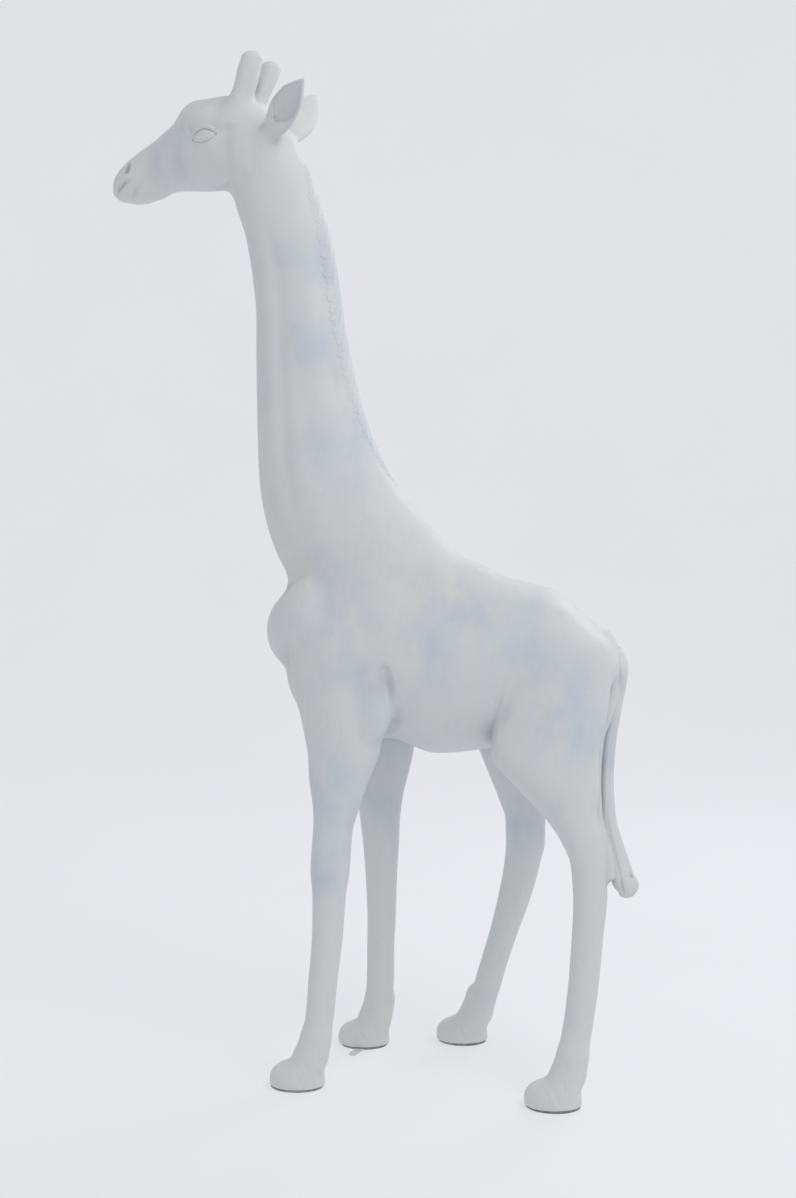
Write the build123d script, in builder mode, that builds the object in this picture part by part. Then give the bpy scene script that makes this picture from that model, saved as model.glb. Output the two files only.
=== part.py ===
from build123d import *
from math import cos, radians, sin
import os

# Giraffe statue: a hollow moulded skin in several shells, held off a welded steel frame.
# Millimetres. +Z is up, the head looks towards -X and the statue's own left side is -Y.
# The origin is on the floor, under the middle of the statue.

# ---------------------------------------------------------------- driving dimensions
SKIN = 5.0                 # wall of the moulded shells
HEAD_SKIN = 4.0            # wall of the head
GLUE_GAP = 0.4             # glue line under pieces bonded onto the skin
SOLE_HEIGHT = 6.0          # thickness of a sole plate
SOLE_INSET = 1.5           # how far a sole plate stays inside the foot's edge
LEG_SEAM = 742.0           # height of the level seam between the legs and the torso
NECK_SEAM = 1300.0         # height of the level seam between the torso and the neck
HEAD_TURN = 18.0           # the head looks this many degrees to the statue's right
HEAD_PIVOT = (-235.0, 0.0)  # the upright line that the head turns about
HEAD_SEAM_POINT = (-225.0, 0.0, 2103.0)
HEAD_SEAM_TILT = 22.0      # tilt of the seam from the throat up to the nape

TUBE_WALL = 3.0
SPINE_SIDE = 40.0
NECK_TUBE_RADIUS = 21.0
CROSS_TUBE_RADIUS = 17.0
LEG_ROD_RADIUS = 10.0
WELD_GAP = 0.5             # clearance between welded members
FORMER_THICKNESS = 12.0
FORMER_CLEARANCE = 2.5     # between a former and the inside of the skin
TAIL_WIRE_RADIUS = 3.0

SPINE_HEIGHT = 1000.0
SPINE_ENDS = (-130.0, 520.0)
NECK_TUBE_FOOT = Vector(-50, 0, SPINE_HEIGHT + SPINE_SIDE / 2 + 5)
NECK_TUBE_TOP = Vector(-212, 0, 2150)
CROSS_TUBES = {"shoulder": (-40.0, 112.0), "hip": (450.0, 118.0)}    # X and half length
CROSS_HEIGHT = SPINE_HEIGHT - SPINE_SIDE / 2 - CROSS_TUBE_RADIUS - WELD_GAP
ROD_TOP = CROSS_HEIGHT - CROSS_TUBE_RADIUS - WELD_GAP
ROD_OFFSET = 96.0          # distance of a rod's top from the middle plane

STRAP_WIDTH = 20.0
STRAP_LENGTH = 110.0
STRAP_THICKNESS = 2.5
STRAP_HOLE_RADIUS = 2.5
STRAP_MIDDLE = (-27.7, 112.1)
STRAP_ANGLE = 74.9         # degrees from +X towards +Y
STRAP_NOTCH = 0.5          # clearance round the strap in the sole plate above it
STRAP_FREE_HOLES = (12.0, 62.0)     # distances from the tip to the two free holes
STRAP_SCREWS = (86.0, 100.0)        # distances from the tip to the two screws
SCREW_RADIUS = 2.0
SCREW_HEAD_RADIUS = 3.8
SCREW_HEAD_HEIGHT = 1.6
SCREW_LENGTH = 5.2
SCREW_CLEARANCE = 0.2

# ---------------------------------------------------------------- stations of the skin
# Level sections: X and Y of the middle, height, half length along X, half width along Y.
FRONT_LEFT = [
    (-40, -95, 1000, 95, 58),
    (-38, -106, 880, 98, 58),
    (-33, -112, 776, 85, 54),
    (-44, -116, 700, 68, 47),
    (-50, -120, 637, 53, 41),
    (-57, -123, 585, 46, 38),
    (-62, -128, 505, 46, 39),
    (-64, -132, 440, 39, 33),
    (-67, -137, 350, 36, 31),
    (-76, -143, 255, 34, 30),
    (-89, -149, 160, 33, 31),
    (-98, -152, 110, 37, 36),
    (-118, -155, 68, 50, 46),
    (-134, -157, 34, 62, 52),
    (-136, -157, SOLE_HEIGHT, 62, 51),
]
FRONT_RIGHT = [
    (-10, 95, 1000, 95, 58),
    (12, 106, 880, 95, 58),
    (28, 112, 776, 82, 54),
    (25, 115, 700, 70, 46),
    (22, 118, 637, 57, 41),
    (21, 121, 580, 50, 39),
    (23, 126, 505, 44, 38),
    (23, 131, 430, 39, 33),
    (23, 136, 350, 36, 31),
    (20, 142, 260, 34, 30),
    (18, 149, 165, 34, 31),
    (14, 152, 110, 38, 36),
    (-4, 155, 68, 50, 46),
    (-20, 157, 34, 60, 52),
    (-24, 157, SOLE_HEIGHT, 59, 51),
]
REAR_LEFT = [
    (466, -95, 1000, 98, 58),
    (452, -114, 890, 122, 62),
    (432, -132, 776, 122, 60),
    (463, -142, 700, 92, 54),
    (494, -148, 632, 58, 45),
    (516, -152, 588, 49, 40),
    (532, -157, 530, 40, 37),
    (536, -164, 455, 38, 35),
    (530, -174, 366, 35, 31),
    (523, -185, 278, 34, 30),
    (512, -196, 190, 33, 30),
    (501, -207, 108, 37, 36),
    (482, -212, 66, 50, 46),
    (462, -215, 34, 62, 52),
    (456, -215, SOLE_HEIGHT, 62, 51),
]
REAR_RIGHT = [
    (456, 95, 1000, 96, 58),
    (415, 114, 890, 120, 62),
    (370, 132, 776, 112, 60),
    (372, 142, 690, 84, 54),
    (375, 148, 626, 62, 45),
    (378, 152, 574, 49, 41),
    (378, 157, 523, 48, 40),
    (369, 164, 460, 44, 37),
    (348, 174, 369, 40, 34),
    (320, 185, 275, 35, 31),
    (294, 195, 190, 34, 31),
    (270, 207, 108, 39, 37),
    (246, 212, 66, 51, 46),
    (224, 215, 34, 62, 52),
    (218, 215, SOLE_HEIGHT, 61, 51),
]
NECK = [
    (70, 0, 1110, 240, 120),
    (52, 0, 1190, 244, 124),
    (12, 0, 1225, 221, 122),
    (-38, 0, 1300, 197, 113),
    (-92, 0, 1406, 161, 97),
    (-127, 0, 1549, 131, 84),
    (-146, 0, 1690, 114, 74),
    (-159, 0, 1832, 103, 67),
    (-181, 0, 1975, 102, 63),
    (-205, 0, 2055, 103, 61),
    (-226, 0, 2130, 96, 60),
    (-242, 0, 2190, 80, 56),
]
# Upright sections of the barrel: X, height of the middle, half width, half height.
BARREL = [
    (-230, 1040, 28, 34),
    (-218, 1036, 62, 76),
    (-180, 1030, 96, 128),
    (-120, 1010, 128, 180),
    (-40, 1004, 148, 216),
    (60, 1003, 160, 213),
    (170, 978, 166, 221),
    (280, 976, 168, 210),
    (380, 976, 166, 188),
    (460, 986, 158, 155),
    (530, 985, 138, 98),
    (576, 975, 100, 58),
    (604, 965, 44, 24),
]
# Upright sections of the head before it is turned, in the same form.
HEAD = [
    (-662, 2131, 14, 16),
    (-652, 2137, 29, 31),
    (-625, 2146, 40, 48),
    (-584, 2157, 44, 62),
    (-536, 2171, 43, 73),
    (-500, 2187, 48, 79),
    (-460, 2198, 60, 89),
    (-410, 2210, 71, 104),
    (-363, 2212, 74, 109),
    (-310, 2206, 71, 116),
    (-260, 2194, 66, 118),
    (-205, 2178, 58, 98),
    (-165, 2170, 40, 56),
]
# Level sections of a horn before the head is turned: X, distance from the middle, height, radius.
HORN = [
    (-302, 26, 2262, 38),
    (-288, 29, 2300, 31),
    (-270, 35, 2335, 27),
    (-255, 41, 2370, 28),
    (-246, 44, 2392, 25),
    (-242, 46, 2404, 16),
    (-241, 46, 2409, 7),
]
# Root and tip of each ear before the head is turned, and the way its hollow faces.
LEFT_EAR = ((-206, -38, 2206), (-78, -104, 2304), (0.02, -1.0, -0.1))
RIGHT_EAR = ((-186, 36, 2218), (-158, 110, 2332), (-0.85, 0.45, 0.1))
# Sections of an ear: share of the way from root to tip, half width, half thickness.
EAR = [(0.0, 16, 12), (0.25, 30, 14), (0.5, 38, 12), (0.78, 30, 9), (1.0, 6, 4)]
EAR_WALL = 5.0
EAR_HOLLOW = 9.0           # how far the scooping shape stands out of the ear
EYE_PLACE = (-363, 66, 2220)
EYE_HALF_LENGTH = 27.0
EYE_RADIUS = 16.0
# Tail: X, Y, height, half length along X, half width along Y.
TAIL = [
    (592, 0, 1010, 14, 15),
    (602, -6, 940, 17, 19),
    (592, -24, 870, 15, 18),
    (579, -46, 800, 16, 18),
    (574, -76, 712, 15, 18),
    (576, -100, 640, 17, 18),
    (587, -116, 585, 20, 20),
    (605, -134, 520, 25, 23),
    (612, -144, 488, 27, 24),
    (616, -149, 468, 12, 11),
]
# The nape line that the mane strip follows: X and height of its middle.
MANE = [(68, 1412), (6, 1549), (-30, 1690), (-54, 1832), (-77, 1975), (-100, 2055), (-126, 2120)]
MANE_HALF_WIDTH = 17.0
MANE_HALF_DEPTH = 7.0


# ---------------------------------------------------------------- shapes used more than once
def level_loft(stations, skin=0.0):
    """Solid through level ellipses, drawn in by the skin."""
    with BuildPart() as body:
        for x, y, z, half_length, half_width in stations:
            with BuildSketch(Plane((x, y, z))):
                Ellipse(half_length - skin, half_width - skin)
        loft(ruled=True)
    return body.part


def upright_loft(stations, skin=0.0):
    """Smooth solid through upright ellipses along X, drawn in by the skin."""
    with BuildPart() as body:
        for x, z, half_width, half_height in stations:
            with BuildSketch(Plane((x, 0, z), x_dir=(0, 1, 0), z_dir=(1, 0, 0))):
                Ellipse(half_width - skin, half_height - skin)
        loft()
    return body.part


def open_foot(stations):
    """The same leg stations, run down to the floor so that the hollow opens at the sole."""
    x, y, z, half_length, half_width = stations[-1]
    return stations[:-1] + [(x, y, -SOLE_HEIGHT, half_length, half_width)]


def turned(part):
    """The same part after the head's turn."""
    pivot = Axis((HEAD_PIVOT[0], HEAD_PIVOT[1], 0), (0, 0, 1))
    return part.rotate(pivot, -HEAD_TURN)


def finish(part, name):
    """Label one finished piece and write it."""
    part.label = name
    export_step(part, f"parts/{name}.step")


def level_plane(z):
    return Plane((0, 0, z))


MIDDLE = Plane.XZ          # its upper side is the statue's left, -Y
TURNED_MIDDLE = Plane(
    (HEAD_PIVOT[0], HEAD_PIVOT[1], 0),
    x_dir=(cos(radians(HEAD_TURN)), -sin(radians(HEAD_TURN)), 0),
    z_dir=(-sin(radians(HEAD_TURN)), -cos(radians(HEAD_TURN)), 0),
)
HEAD_SEAM = Plane(
    HEAD_SEAM_POINT,
    x_dir=(cos(radians(HEAD_SEAM_TILT)), 0, sin(radians(HEAD_SEAM_TILT))),
    z_dir=(-sin(radians(HEAD_SEAM_TILT)), 0, cos(radians(HEAD_SEAM_TILT))),
)
LEGS = {
    "front_leg_left": FRONT_LEFT,
    "front_leg_right": FRONT_RIGHT,
    "rear_leg_left": REAR_LEFT,
    "rear_leg_right": REAR_RIGHT,
}
SIDES = {"left": (-1, Keep.TOP), "right": (1, Keep.BOTTOM)}

# ---------------------------------------------------------------- torso and neck
neck_outer = level_loft(NECK)
neck_inner = level_loft(NECK, SKIN)

with BuildPart() as torso_outer:
    add(upright_loft(BARREL))
    add(neck_outer)
    for stations in LEGS.values():
        add(level_loft(stations), clean=False)

with BuildPart() as torso_inner:
    add(upright_loft(BARREL, SKIN))
    add(neck_inner)
    for stations in LEGS.values():
        add(level_loft(stations, SKIN), clean=False)

with BuildPart() as torso_skin:
    add(torso_outer.part)
    add(torso_inner.part, mode=Mode.SUBTRACT)
    split(bisect_by=level_plane(LEG_SEAM), keep=Keep.TOP)
    split(bisect_by=level_plane(NECK_SEAM), keep=Keep.BOTTOM)

with BuildPart() as neck_skin:
    add(neck_outer)
    add(neck_inner, mode=Mode.SUBTRACT)
    split(bisect_by=level_plane(NECK_SEAM), keep=Keep.TOP)
    split(bisect_by=HEAD_SEAM, keep=Keep.BOTTOM)

for side, (_, half) in SIDES.items():
    with BuildPart() as torso_shell:
        add(torso_skin.part)
        split(bisect_by=MIDDLE, keep=half)
    finish(torso_shell.part, f"torso_shell_{side}")
    with BuildPart() as neck_shell:
        add(neck_skin.part)
        split(bisect_by=MIDDLE, keep=half)
    finish(neck_shell.part, f"neck_shell_{side}")

# ---------------------------------------------------------------- legs, soles and leg rods
for name, stations in LEGS.items():
    with BuildPart() as leg:
        add(level_loft(stations))
        add(level_loft(open_foot(stations), SKIN), mode=Mode.SUBTRACT)
        split(bisect_by=level_plane(LEG_SEAM), keep=Keep.BOTTOM)
    finish(leg.part, name)

# ---------------------------------------------------------------- head
head_outer = turned(upright_loft(HEAD))
head_glue = turned(upright_loft(HEAD, -GLUE_GAP))
with BuildPart() as head_skin:
    add(head_outer)
    add(turned(upright_loft(HEAD, HEAD_SKIN)), mode=Mode.SUBTRACT)
    split(bisect_by=HEAD_SEAM, keep=Keep.TOP)

for side, (_, half) in SIDES.items():
    with BuildPart() as head_shell:
        add(head_skin.part)
        split(bisect_by=TURNED_MIDDLE, keep=half)
    finish(head_shell.part, f"head_shell_{side}")

# ---------------------------------------------------------------- horns, ears and eyes
for side, (sign, _) in SIDES.items():
    stations = [(x, sign * off, z, radius, radius) for x, off, z, radius in HORN]
    with BuildPart() as horn:
        add(turned(level_loft(stations)))
        add(head_glue, mode=Mode.SUBTRACT)
    finish(horn.part, f"horn_{side}")


def ear_loft(root, tip, facing, shrink, offset):
    """Solid through the ear's flat sections, drawn in by shrink and moved the way the ear faces."""
    root, tip, facing = Vector(root), Vector(tip), Vector(facing).normalized()
    length = tip - root
    with BuildPart() as body:
        for share, half_width, half_thickness in EAR:
            place = root + length * share + facing * offset
            section = Plane(place, x_dir=length.cross(facing), z_dir=length)
            with BuildSketch(section):
                Ellipse(half_width - shrink * half_width / EAR[2][1], half_thickness)
        loft(ruled=True)
    return body.part


for side, (root, tip, facing) in {"left": LEFT_EAR, "right": RIGHT_EAR}.items():
    with BuildPart() as ear:
        add(turned(ear_loft(root, tip, facing, 0.0, 0.0)))
        add(turned(ear_loft(root, tip, facing, EAR_WALL, EAR_HOLLOW)), mode=Mode.SUBTRACT)
        add(head_glue, mode=Mode.SUBTRACT)
    finish(ear.part, f"ear_{side}")

for side, (sign, _) in SIDES.items():
    x, off, z = EYE_PLACE
    with BuildPart() as eye:
        with BuildSketch(Plane((x, sign * off, z))):
            Ellipse(EYE_HALF_LENGTH, EYE_RADIUS)
            with Locations((0, -EYE_RADIUS)):
                Rectangle(2 * EYE_HALF_LENGTH, 2 * EYE_RADIUS, mode=Mode.SUBTRACT)
        revolve(axis=Axis((x, sign * off, z), (1, 0, 0)))
    with BuildPart() as eye_cap:
        add(turned(eye.part))
        add(head_glue, mode=Mode.SUBTRACT)
    finish(eye_cap.part, f"eye_{side}")

# ---------------------------------------------------------------- mane and tail
nape = [(x, 0, z, MANE_HALF_DEPTH, MANE_HALF_WIDTH) for x, z in MANE]
with BuildPart() as mane_strip:
    add(level_loft(nape))
    add(level_loft(NECK, -GLUE_GAP), mode=Mode.SUBTRACT)
finish(mane_strip.part, "mane_strip")

wire = [(x, y, z, TAIL_WIRE_RADIUS, TAIL_WIRE_RADIUS) for x, y, z, _, _ in TAIL[2:-2]]
with BuildPart() as tail_wire:
    add(level_loft(wire))
finish(tail_wire.part, "tail_wire")

with BuildPart() as tail:
    add(level_loft(TAIL))
    add(tail_wire.part, mode=Mode.SUBTRACT)
    add(upright_loft(BARREL, -GLUE_GAP), mode=Mode.SUBTRACT)
    add(level_loft(REAR_LEFT, -GLUE_GAP), mode=Mode.SUBTRACT)
finish(tail.part, "tail")

# ---------------------------------------------------------------- strap, screws and sole plates
def strap_outline(clearance=0.0):
    """The strap's round-ended outline on the floor."""
    with BuildSketch() as outline:
        with Locations(STRAP_MIDDLE):
            SlotOverall(
                STRAP_LENGTH + 2 * clearance,
                STRAP_WIDTH + 2 * clearance,
                rotation=STRAP_ANGLE,
            )
    return outline.sketch


def along_strap(distance):
    """The point this far from the strap's free tip, on its middle line."""
    from_middle = distance - STRAP_LENGTH / 2
    angle = radians(STRAP_ANGLE)
    return (STRAP_MIDDLE[0] + from_middle * cos(angle), STRAP_MIDDLE[1] + from_middle * sin(angle))


screw_places = [along_strap(distance) for distance in STRAP_SCREWS]
free_places = [along_strap(distance) for distance in STRAP_FREE_HOLES]

with BuildPart() as anchor_strap:
    add(strap_outline())
    extrude(amount=STRAP_THICKNESS)
    with BuildSketch():
        with Locations(*free_places):
            Circle(STRAP_HOLE_RADIUS)
        with Locations(*screw_places):
            Circle(SCREW_RADIUS + SCREW_CLEARANCE)
    extrude(amount=STRAP_THICKNESS, mode=Mode.SUBTRACT)
    with BuildSketch():
        with Locations(*screw_places):
            Circle(SCREW_HEAD_RADIUS + SCREW_CLEARANCE)
    extrude(amount=SCREW_HEAD_HEIGHT + SCREW_CLEARANCE, mode=Mode.SUBTRACT)
finish(anchor_strap.part, "anchor_strap")

with BuildPart() as strap_screws:
    with BuildSketch(level_plane(SCREW_CLEARANCE / 2)):
        with Locations(*screw_places):
            Circle(SCREW_HEAD_RADIUS)
    extrude(amount=SCREW_HEAD_HEIGHT)
    with BuildSketch(level_plane(SCREW_CLEARANCE / 2)):
        with Locations(*screw_places):
            Circle(SCREW_RADIUS)
    extrude(amount=SCREW_LENGTH)
finish(strap_screws.part, "strap_screws")

for name, stations in LEGS.items():
    x, y, _, half_length, half_width = stations[-1]
    with BuildPart() as sole:
        with BuildSketch():
            with Locations((x, y)):
                Ellipse(half_length - SOLE_INSET, half_width - SOLE_INSET)
        extrude(amount=SOLE_HEIGHT)
        if name == "front_leg_right":
            add(strap_outline(STRAP_NOTCH))
            extrude(amount=STRAP_THICKNESS + STRAP_NOTCH, mode=Mode.SUBTRACT)
            with BuildSketch():
                with Locations(*screw_places):
                    Circle(SCREW_RADIUS + SCREW_CLEARANCE)
            extrude(amount=SOLE_HEIGHT, mode=Mode.SUBTRACT)
    finish(sole.part, name.replace("leg", "sole"))

# ---------------------------------------------------------------- steel frame inside
with BuildPart() as spine_tube:
    with BuildSketch(Plane((SPINE_ENDS[0], 0, SPINE_HEIGHT), x_dir=(0, 1, 0), z_dir=(1, 0, 0))):
        Rectangle(SPINE_SIDE, SPINE_SIDE)
        Rectangle(SPINE_SIDE - 2 * TUBE_WALL, SPINE_SIDE - 2 * TUBE_WALL, mode=Mode.SUBTRACT)
    extrude(amount=SPINE_ENDS[1] - SPINE_ENDS[0])
finish(spine_tube.part, "spine_tube")

neck_run = NECK_TUBE_TOP - NECK_TUBE_FOOT
with BuildPart() as neck_tube:
    with BuildSketch(Plane(NECK_TUBE_FOOT, x_dir=(0, 1, 0), z_dir=neck_run)):
        Circle(NECK_TUBE_RADIUS)
        Circle(NECK_TUBE_RADIUS - TUBE_WALL, mode=Mode.SUBTRACT)
    extrude(amount=neck_run.length)
finish(neck_tube.part, "neck_tube")

for name, (x, half_length) in CROSS_TUBES.items():
    with BuildPart() as cross_tube:
        with BuildSketch(Plane((x, 0, CROSS_HEIGHT), x_dir=(1, 0, 0), z_dir=(0, 1, 0))):
            Circle(CROSS_TUBE_RADIUS)
            Circle(CROSS_TUBE_RADIUS - TUBE_WALL, mode=Mode.SUBTRACT)
        extrude(amount=half_length, both=True)
    finish(cross_tube.part, f"{name}_cross_tube")

for name, stations in LEGS.items():
    x = CROSS_TUBES["shoulder" if name.startswith("front") else "hip"][0]
    sign = SIDES[name.split("_")[2]][0]
    route = [(x, sign * ROD_OFFSET, ROD_TOP)]
    route += [(x, y, z) for x, y, z, _, _ in stations if z <= LEG_SEAM and z != stations[-2][2]]
    with BuildPart() as rod:
        add(level_loft([(x, y, z, LEG_ROD_RADIUS, LEG_ROD_RADIUS) for x, y, z in route]))
    finish(rod.part, name.replace("leg", "leg_rod"))

for name, (x, z, half_width, half_height) in {"shoulder": BARREL[5], "hip": BARREL[8]}.items():
    inset = SKIN + FORMER_CLEARANCE
    with BuildPart() as former:
        with BuildSketch(Plane((x, 0, z), x_dir=(0, 1, 0), z_dir=(1, 0, 0))):
            Ellipse(half_width - inset, half_height - inset)
            with Locations((0, SPINE_HEIGHT - z)):
                side = SPINE_SIDE + 2 * WELD_GAP
                Rectangle(side, side, mode=Mode.SUBTRACT)
        extrude(amount=FORMER_THICKNESS / 2, both=True)
    finish(former.part, f"{name}_former")

for name, (x, _, z, half_length, half_width) in {"lower_neck": NECK[5], "upper_neck": NECK[7]}.items():
    share = (z - NECK_TUBE_FOOT.Z) / neck_run.Z
    tube_x = NECK_TUBE_FOOT.X + neck_run.X * share
    inset = SKIN + FORMER_CLEARANCE
    with BuildPart() as former:
        with BuildSketch(level_plane(z)):
            with Locations((x, 0)):
                Ellipse(half_length - inset, half_width - inset)
            with Locations((tube_x, 0)):
                Circle(NECK_TUBE_RADIUS + FORMER_CLEARANCE, mode=Mode.SUBTRACT)
        extrude(amount=FORMER_THICKNESS / 2, both=True)
    finish(former.part, f"{name}_former")
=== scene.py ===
from math import cos, pi, radians, sin

import bmesh
import bpy
import numpy as np
from mathutils import Matrix, Vector


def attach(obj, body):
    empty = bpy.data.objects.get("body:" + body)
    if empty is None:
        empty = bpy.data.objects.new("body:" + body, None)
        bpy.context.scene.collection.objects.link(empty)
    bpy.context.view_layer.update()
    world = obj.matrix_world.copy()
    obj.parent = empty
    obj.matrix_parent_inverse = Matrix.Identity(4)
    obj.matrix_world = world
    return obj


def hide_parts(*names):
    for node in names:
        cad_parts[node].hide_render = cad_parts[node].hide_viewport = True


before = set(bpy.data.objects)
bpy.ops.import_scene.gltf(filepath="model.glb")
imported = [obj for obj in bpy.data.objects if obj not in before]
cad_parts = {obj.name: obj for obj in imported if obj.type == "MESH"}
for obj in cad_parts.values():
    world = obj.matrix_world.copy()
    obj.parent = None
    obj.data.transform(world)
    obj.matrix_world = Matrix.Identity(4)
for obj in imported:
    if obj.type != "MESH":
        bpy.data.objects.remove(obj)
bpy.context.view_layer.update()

# Giraffe statue. Shapes are worked out in millimetres in the frame's axes: +Z up, the head
# looks towards -X and the statue's own left side is -Y. Meshes are made in metres.
MM = 0.001
LEFT, RIGHT = -1, 1
SIDE_NAMES = {LEFT: "left", RIGHT: "right"}

# ---------------------------------------------------------------- camera
CAMERA_PLACE = (0.525, -3.620, 1.263)
CAMERA_TURN = 7.0        # degrees from looking straight at the left side
CAMERA_DIP = 2.2         # degrees below level
CAMERA_LENS = 46.2
SENSOR_WIDTH = 36.0


def make_camera():
    data = bpy.data.cameras.new("camera")
    data.lens = CAMERA_LENS
    data.sensor_width = SENSOR_WIDTH
    camera = bpy.data.objects.new("camera", data)
    camera.location = CAMERA_PLACE
    camera.rotation_euler = (radians(90 - CAMERA_DIP), 0, radians(CAMERA_TURN))
    bpy.context.scene.collection.objects.link(camera)
    bpy.context.scene.camera = camera


make_camera()

# ---------------------------------------------------------------- driving dimensions
SKIN = 5.0               # wall of the moulded shells
HEAD_SKIN = 3.5
SOLE_TOP = 6.0           # height of the foot's lower edge above the floor
LEG_SEAM = 742.0
BELLY_HALF = 50.0        # the torso keeps the belly this far out from the middle below the seam
NECK_SEAM = 1300.0
HEAD_TURN = 18.0
HEAD_PIVOT = np.array([-235.0, 0.0, 0.0])
HEAD_SEAM_POINT = np.array([-225.0, 0.0, 2103.0])
HEAD_SEAM_TILT = 22.0
COARSER = 1.0
VOXELS = {"torso": 4.6, "neck": 3.6, "leg": 3.0, "head": 2.0}

# Level sections: X and Y of the middle, height, half length along X, half width along Y.
FRONT_LEFT = [
    (-40, -95, 1000, 95, 58),
    (-38, -106, 880, 98, 58),
    (-33, -112, 776, 85, 54),
    (-44, -116, 700, 68, 47),
    (-50, -120, 637, 53, 41),
    (-57, -123, 585, 46, 38),
    (-62, -128, 505, 46, 39),
    (-64, -132, 440, 39, 33),
    (-67, -137, 350, 36, 31),
    (-76, -143, 255, 34, 30),
    (-84, -149, 160, 33, 31),
    (-93, -152, 112, 34, 33),
    (-103, -154, 78, 38, 37),
]
FRONT_RIGHT = [
    (-10, 95, 1000, 95, 58),
    (12, 106, 880, 95, 58),
    (28, 112, 776, 82, 54),
    (25, 115, 700, 70, 46),
    (22, 118, 637, 57, 41),
    (21, 121, 580, 50, 39),
    (23, 126, 505, 44, 38),
    (23, 131, 430, 39, 33),
    (23, 136, 350, 36, 31),
    (20, 142, 260, 34, 30),
    (18, 149, 165, 34, 31),
    (11, 152, 112, 34, 33),
    (2, 154, 78, 37, 37),
]
REAR_LEFT = [
    (468, -95, 1000, 98, 58),
    (462, -106, 925, 116, 61),
    (446, -118, 860, 125, 62),
    (432, -132, 776, 122, 60),
    (463, -142, 700, 92, 54),
    (494, -148, 632, 58, 45),
    (516, -152, 588, 49, 40),
    (532, -157, 530, 40, 37),
    (536, -164, 455, 38, 35),
    (530, -174, 366, 35, 31),
    (523, -185, 278, 34, 30),
    (512, -196, 190, 33, 30),
    (498, -206, 112, 34, 33),
    (490, -210, 78, 37, 37),
]
REAR_RIGHT = [
    (460, 95, 1000, 96, 58),
    (440, 106, 925, 116, 61),
    (408, 118, 860, 122, 62),
    (370, 132, 776, 112, 60),
    (372, 142, 690, 84, 54),
    (375, 148, 626, 62, 45),
    (378, 152, 574, 49, 41),
    (378, 157, 523, 48, 40),
    (369, 164, 460, 44, 37),
    (348, 174, 369, 40, 34),
    (320, 185, 275, 35, 31),
    (294, 195, 190, 34, 31),
    (272, 206, 112, 34, 33),
    (259, 210, 78, 37, 37),
]
LEGS = {
    "front_leg_left": FRONT_LEFT,
    "front_leg_right": FRONT_RIGHT,
    "rear_leg_left": REAR_LEFT,
    "rear_leg_right": REAR_RIGHT,
}
# Middle of each sole on the floor.
FEET = {
    "front_leg_left": (-134, -157),
    "front_leg_right": (-24, 157),
    "rear_leg_left": (456, -215),
    "rear_leg_right": (218, 215),
}
NECK = [
    (70, 0, 1110, 238, 118),
    (52, 0, 1190, 243, 123),
    (12, 0, 1226, 220, 121),
    (-38, 0, 1300, 196, 113),
    (-92, 0, 1406, 160, 97),
    (-127, 0, 1549, 130, 84),
    (-146, 0, 1690, 113, 74),
    (-159, 0, 1832, 102, 67),
    (-181, 0, 1975, 101, 63),
    (-205, 0, 2055, 102, 61),
    (-226, 0, 2130, 96, 60),
    (-242, 0, 2190, 80, 56),
]
# Upright sections of the barrel: X, height of the middle, half width, half height.
BARREL = [
    (-160, 1048, 90, 92),
    (-120, 1014, 126, 168),
    (-40, 1004, 148, 213),
    (60, 1003, 160, 210),
    (170, 978, 166, 219),
    (280, 976, 168, 207),
    (380, 976, 166, 186),
    (460, 986, 158, 153),
    (530, 985, 138, 97),
    (576, 975, 100, 58),
    (600, 965, 54, 30),
]
# Upright sections of the head before it is turned, in the same form.
HEAD = [
    (-662, 2131, 14, 16),
    (-652, 2137, 29, 31),
    (-625, 2146, 40, 48),
    (-584, 2157, 43, 62),
    (-536, 2171, 42, 73),
    (-500, 2187, 47, 79),
    (-460, 2198, 59, 88),
    (-410, 2208, 70, 101),
    (-363, 2210, 72, 106),
    (-310, 2204, 69, 112),
    (-260, 2190, 65, 108),
    (-222, 2176, 52, 84),
]
# Level sections of the tail, in the same form as the legs.
TAIL = [
    (592, 0, 1010, 14, 15),
    (602, -6, 940, 17, 19),
    (592, -24, 870, 15, 18),
    (579, -46, 800, 16, 18),
    (574, -76, 712, 15, 18),
    (576, -100, 640, 17, 18),
    (587, -116, 585, 20, 20),
    (605, -134, 520, 25, 23),
    (612, -144, 488, 27, 24),
    (616, -149, 468, 16, 14),
]
# Horn before the head is turned: X, how far out from the middle, height, radius.
HORN = [
    (-306, 24, 2250, 40),
    (-288, 29, 2300, 31),
    (-270, 35, 2335, 27),
    (-256, 41, 2368, 27.5),
    (-247, 44, 2389, 26),
]
# Ear before the head is turned: root, tip and the way its hollow faces.
EARS = {
    LEFT: ((-206, -38, 2206), (-78, -104, 2304), (0.02, -1.0, -0.1)),
    RIGHT: ((-186, 36, 2218), (-158, 110, 2332), (-0.85, 0.45, 0.1)),
}
# Sections of an ear: share of the way from root to tip, half width, half thickness.
EAR = [
    (0.0, 17, 13),
    (0.22, 31, 15),
    (0.46, 39, 14),
    (0.7, 34, 12),
    (0.88, 19, 9),
    (0.97, 9, 5),
    (1.02, 2, 2),
]
EAR_CURL = 0.004         # how much an ear bends across its width
EAR_SEAM = 0.3           # share of the way from root to tip where an ear is joined on
EAR_REACH = 56.0         # an ear lies within this of its middle line
# Hollow of an ear, in the same form.
EAR_SCOOP = [(0.34, 7, 5), (0.42, 20, 12), (0.55, 29, 16), (0.72, 25, 14), (0.86, 13, 9), (0.95, 3, 5)]
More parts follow.
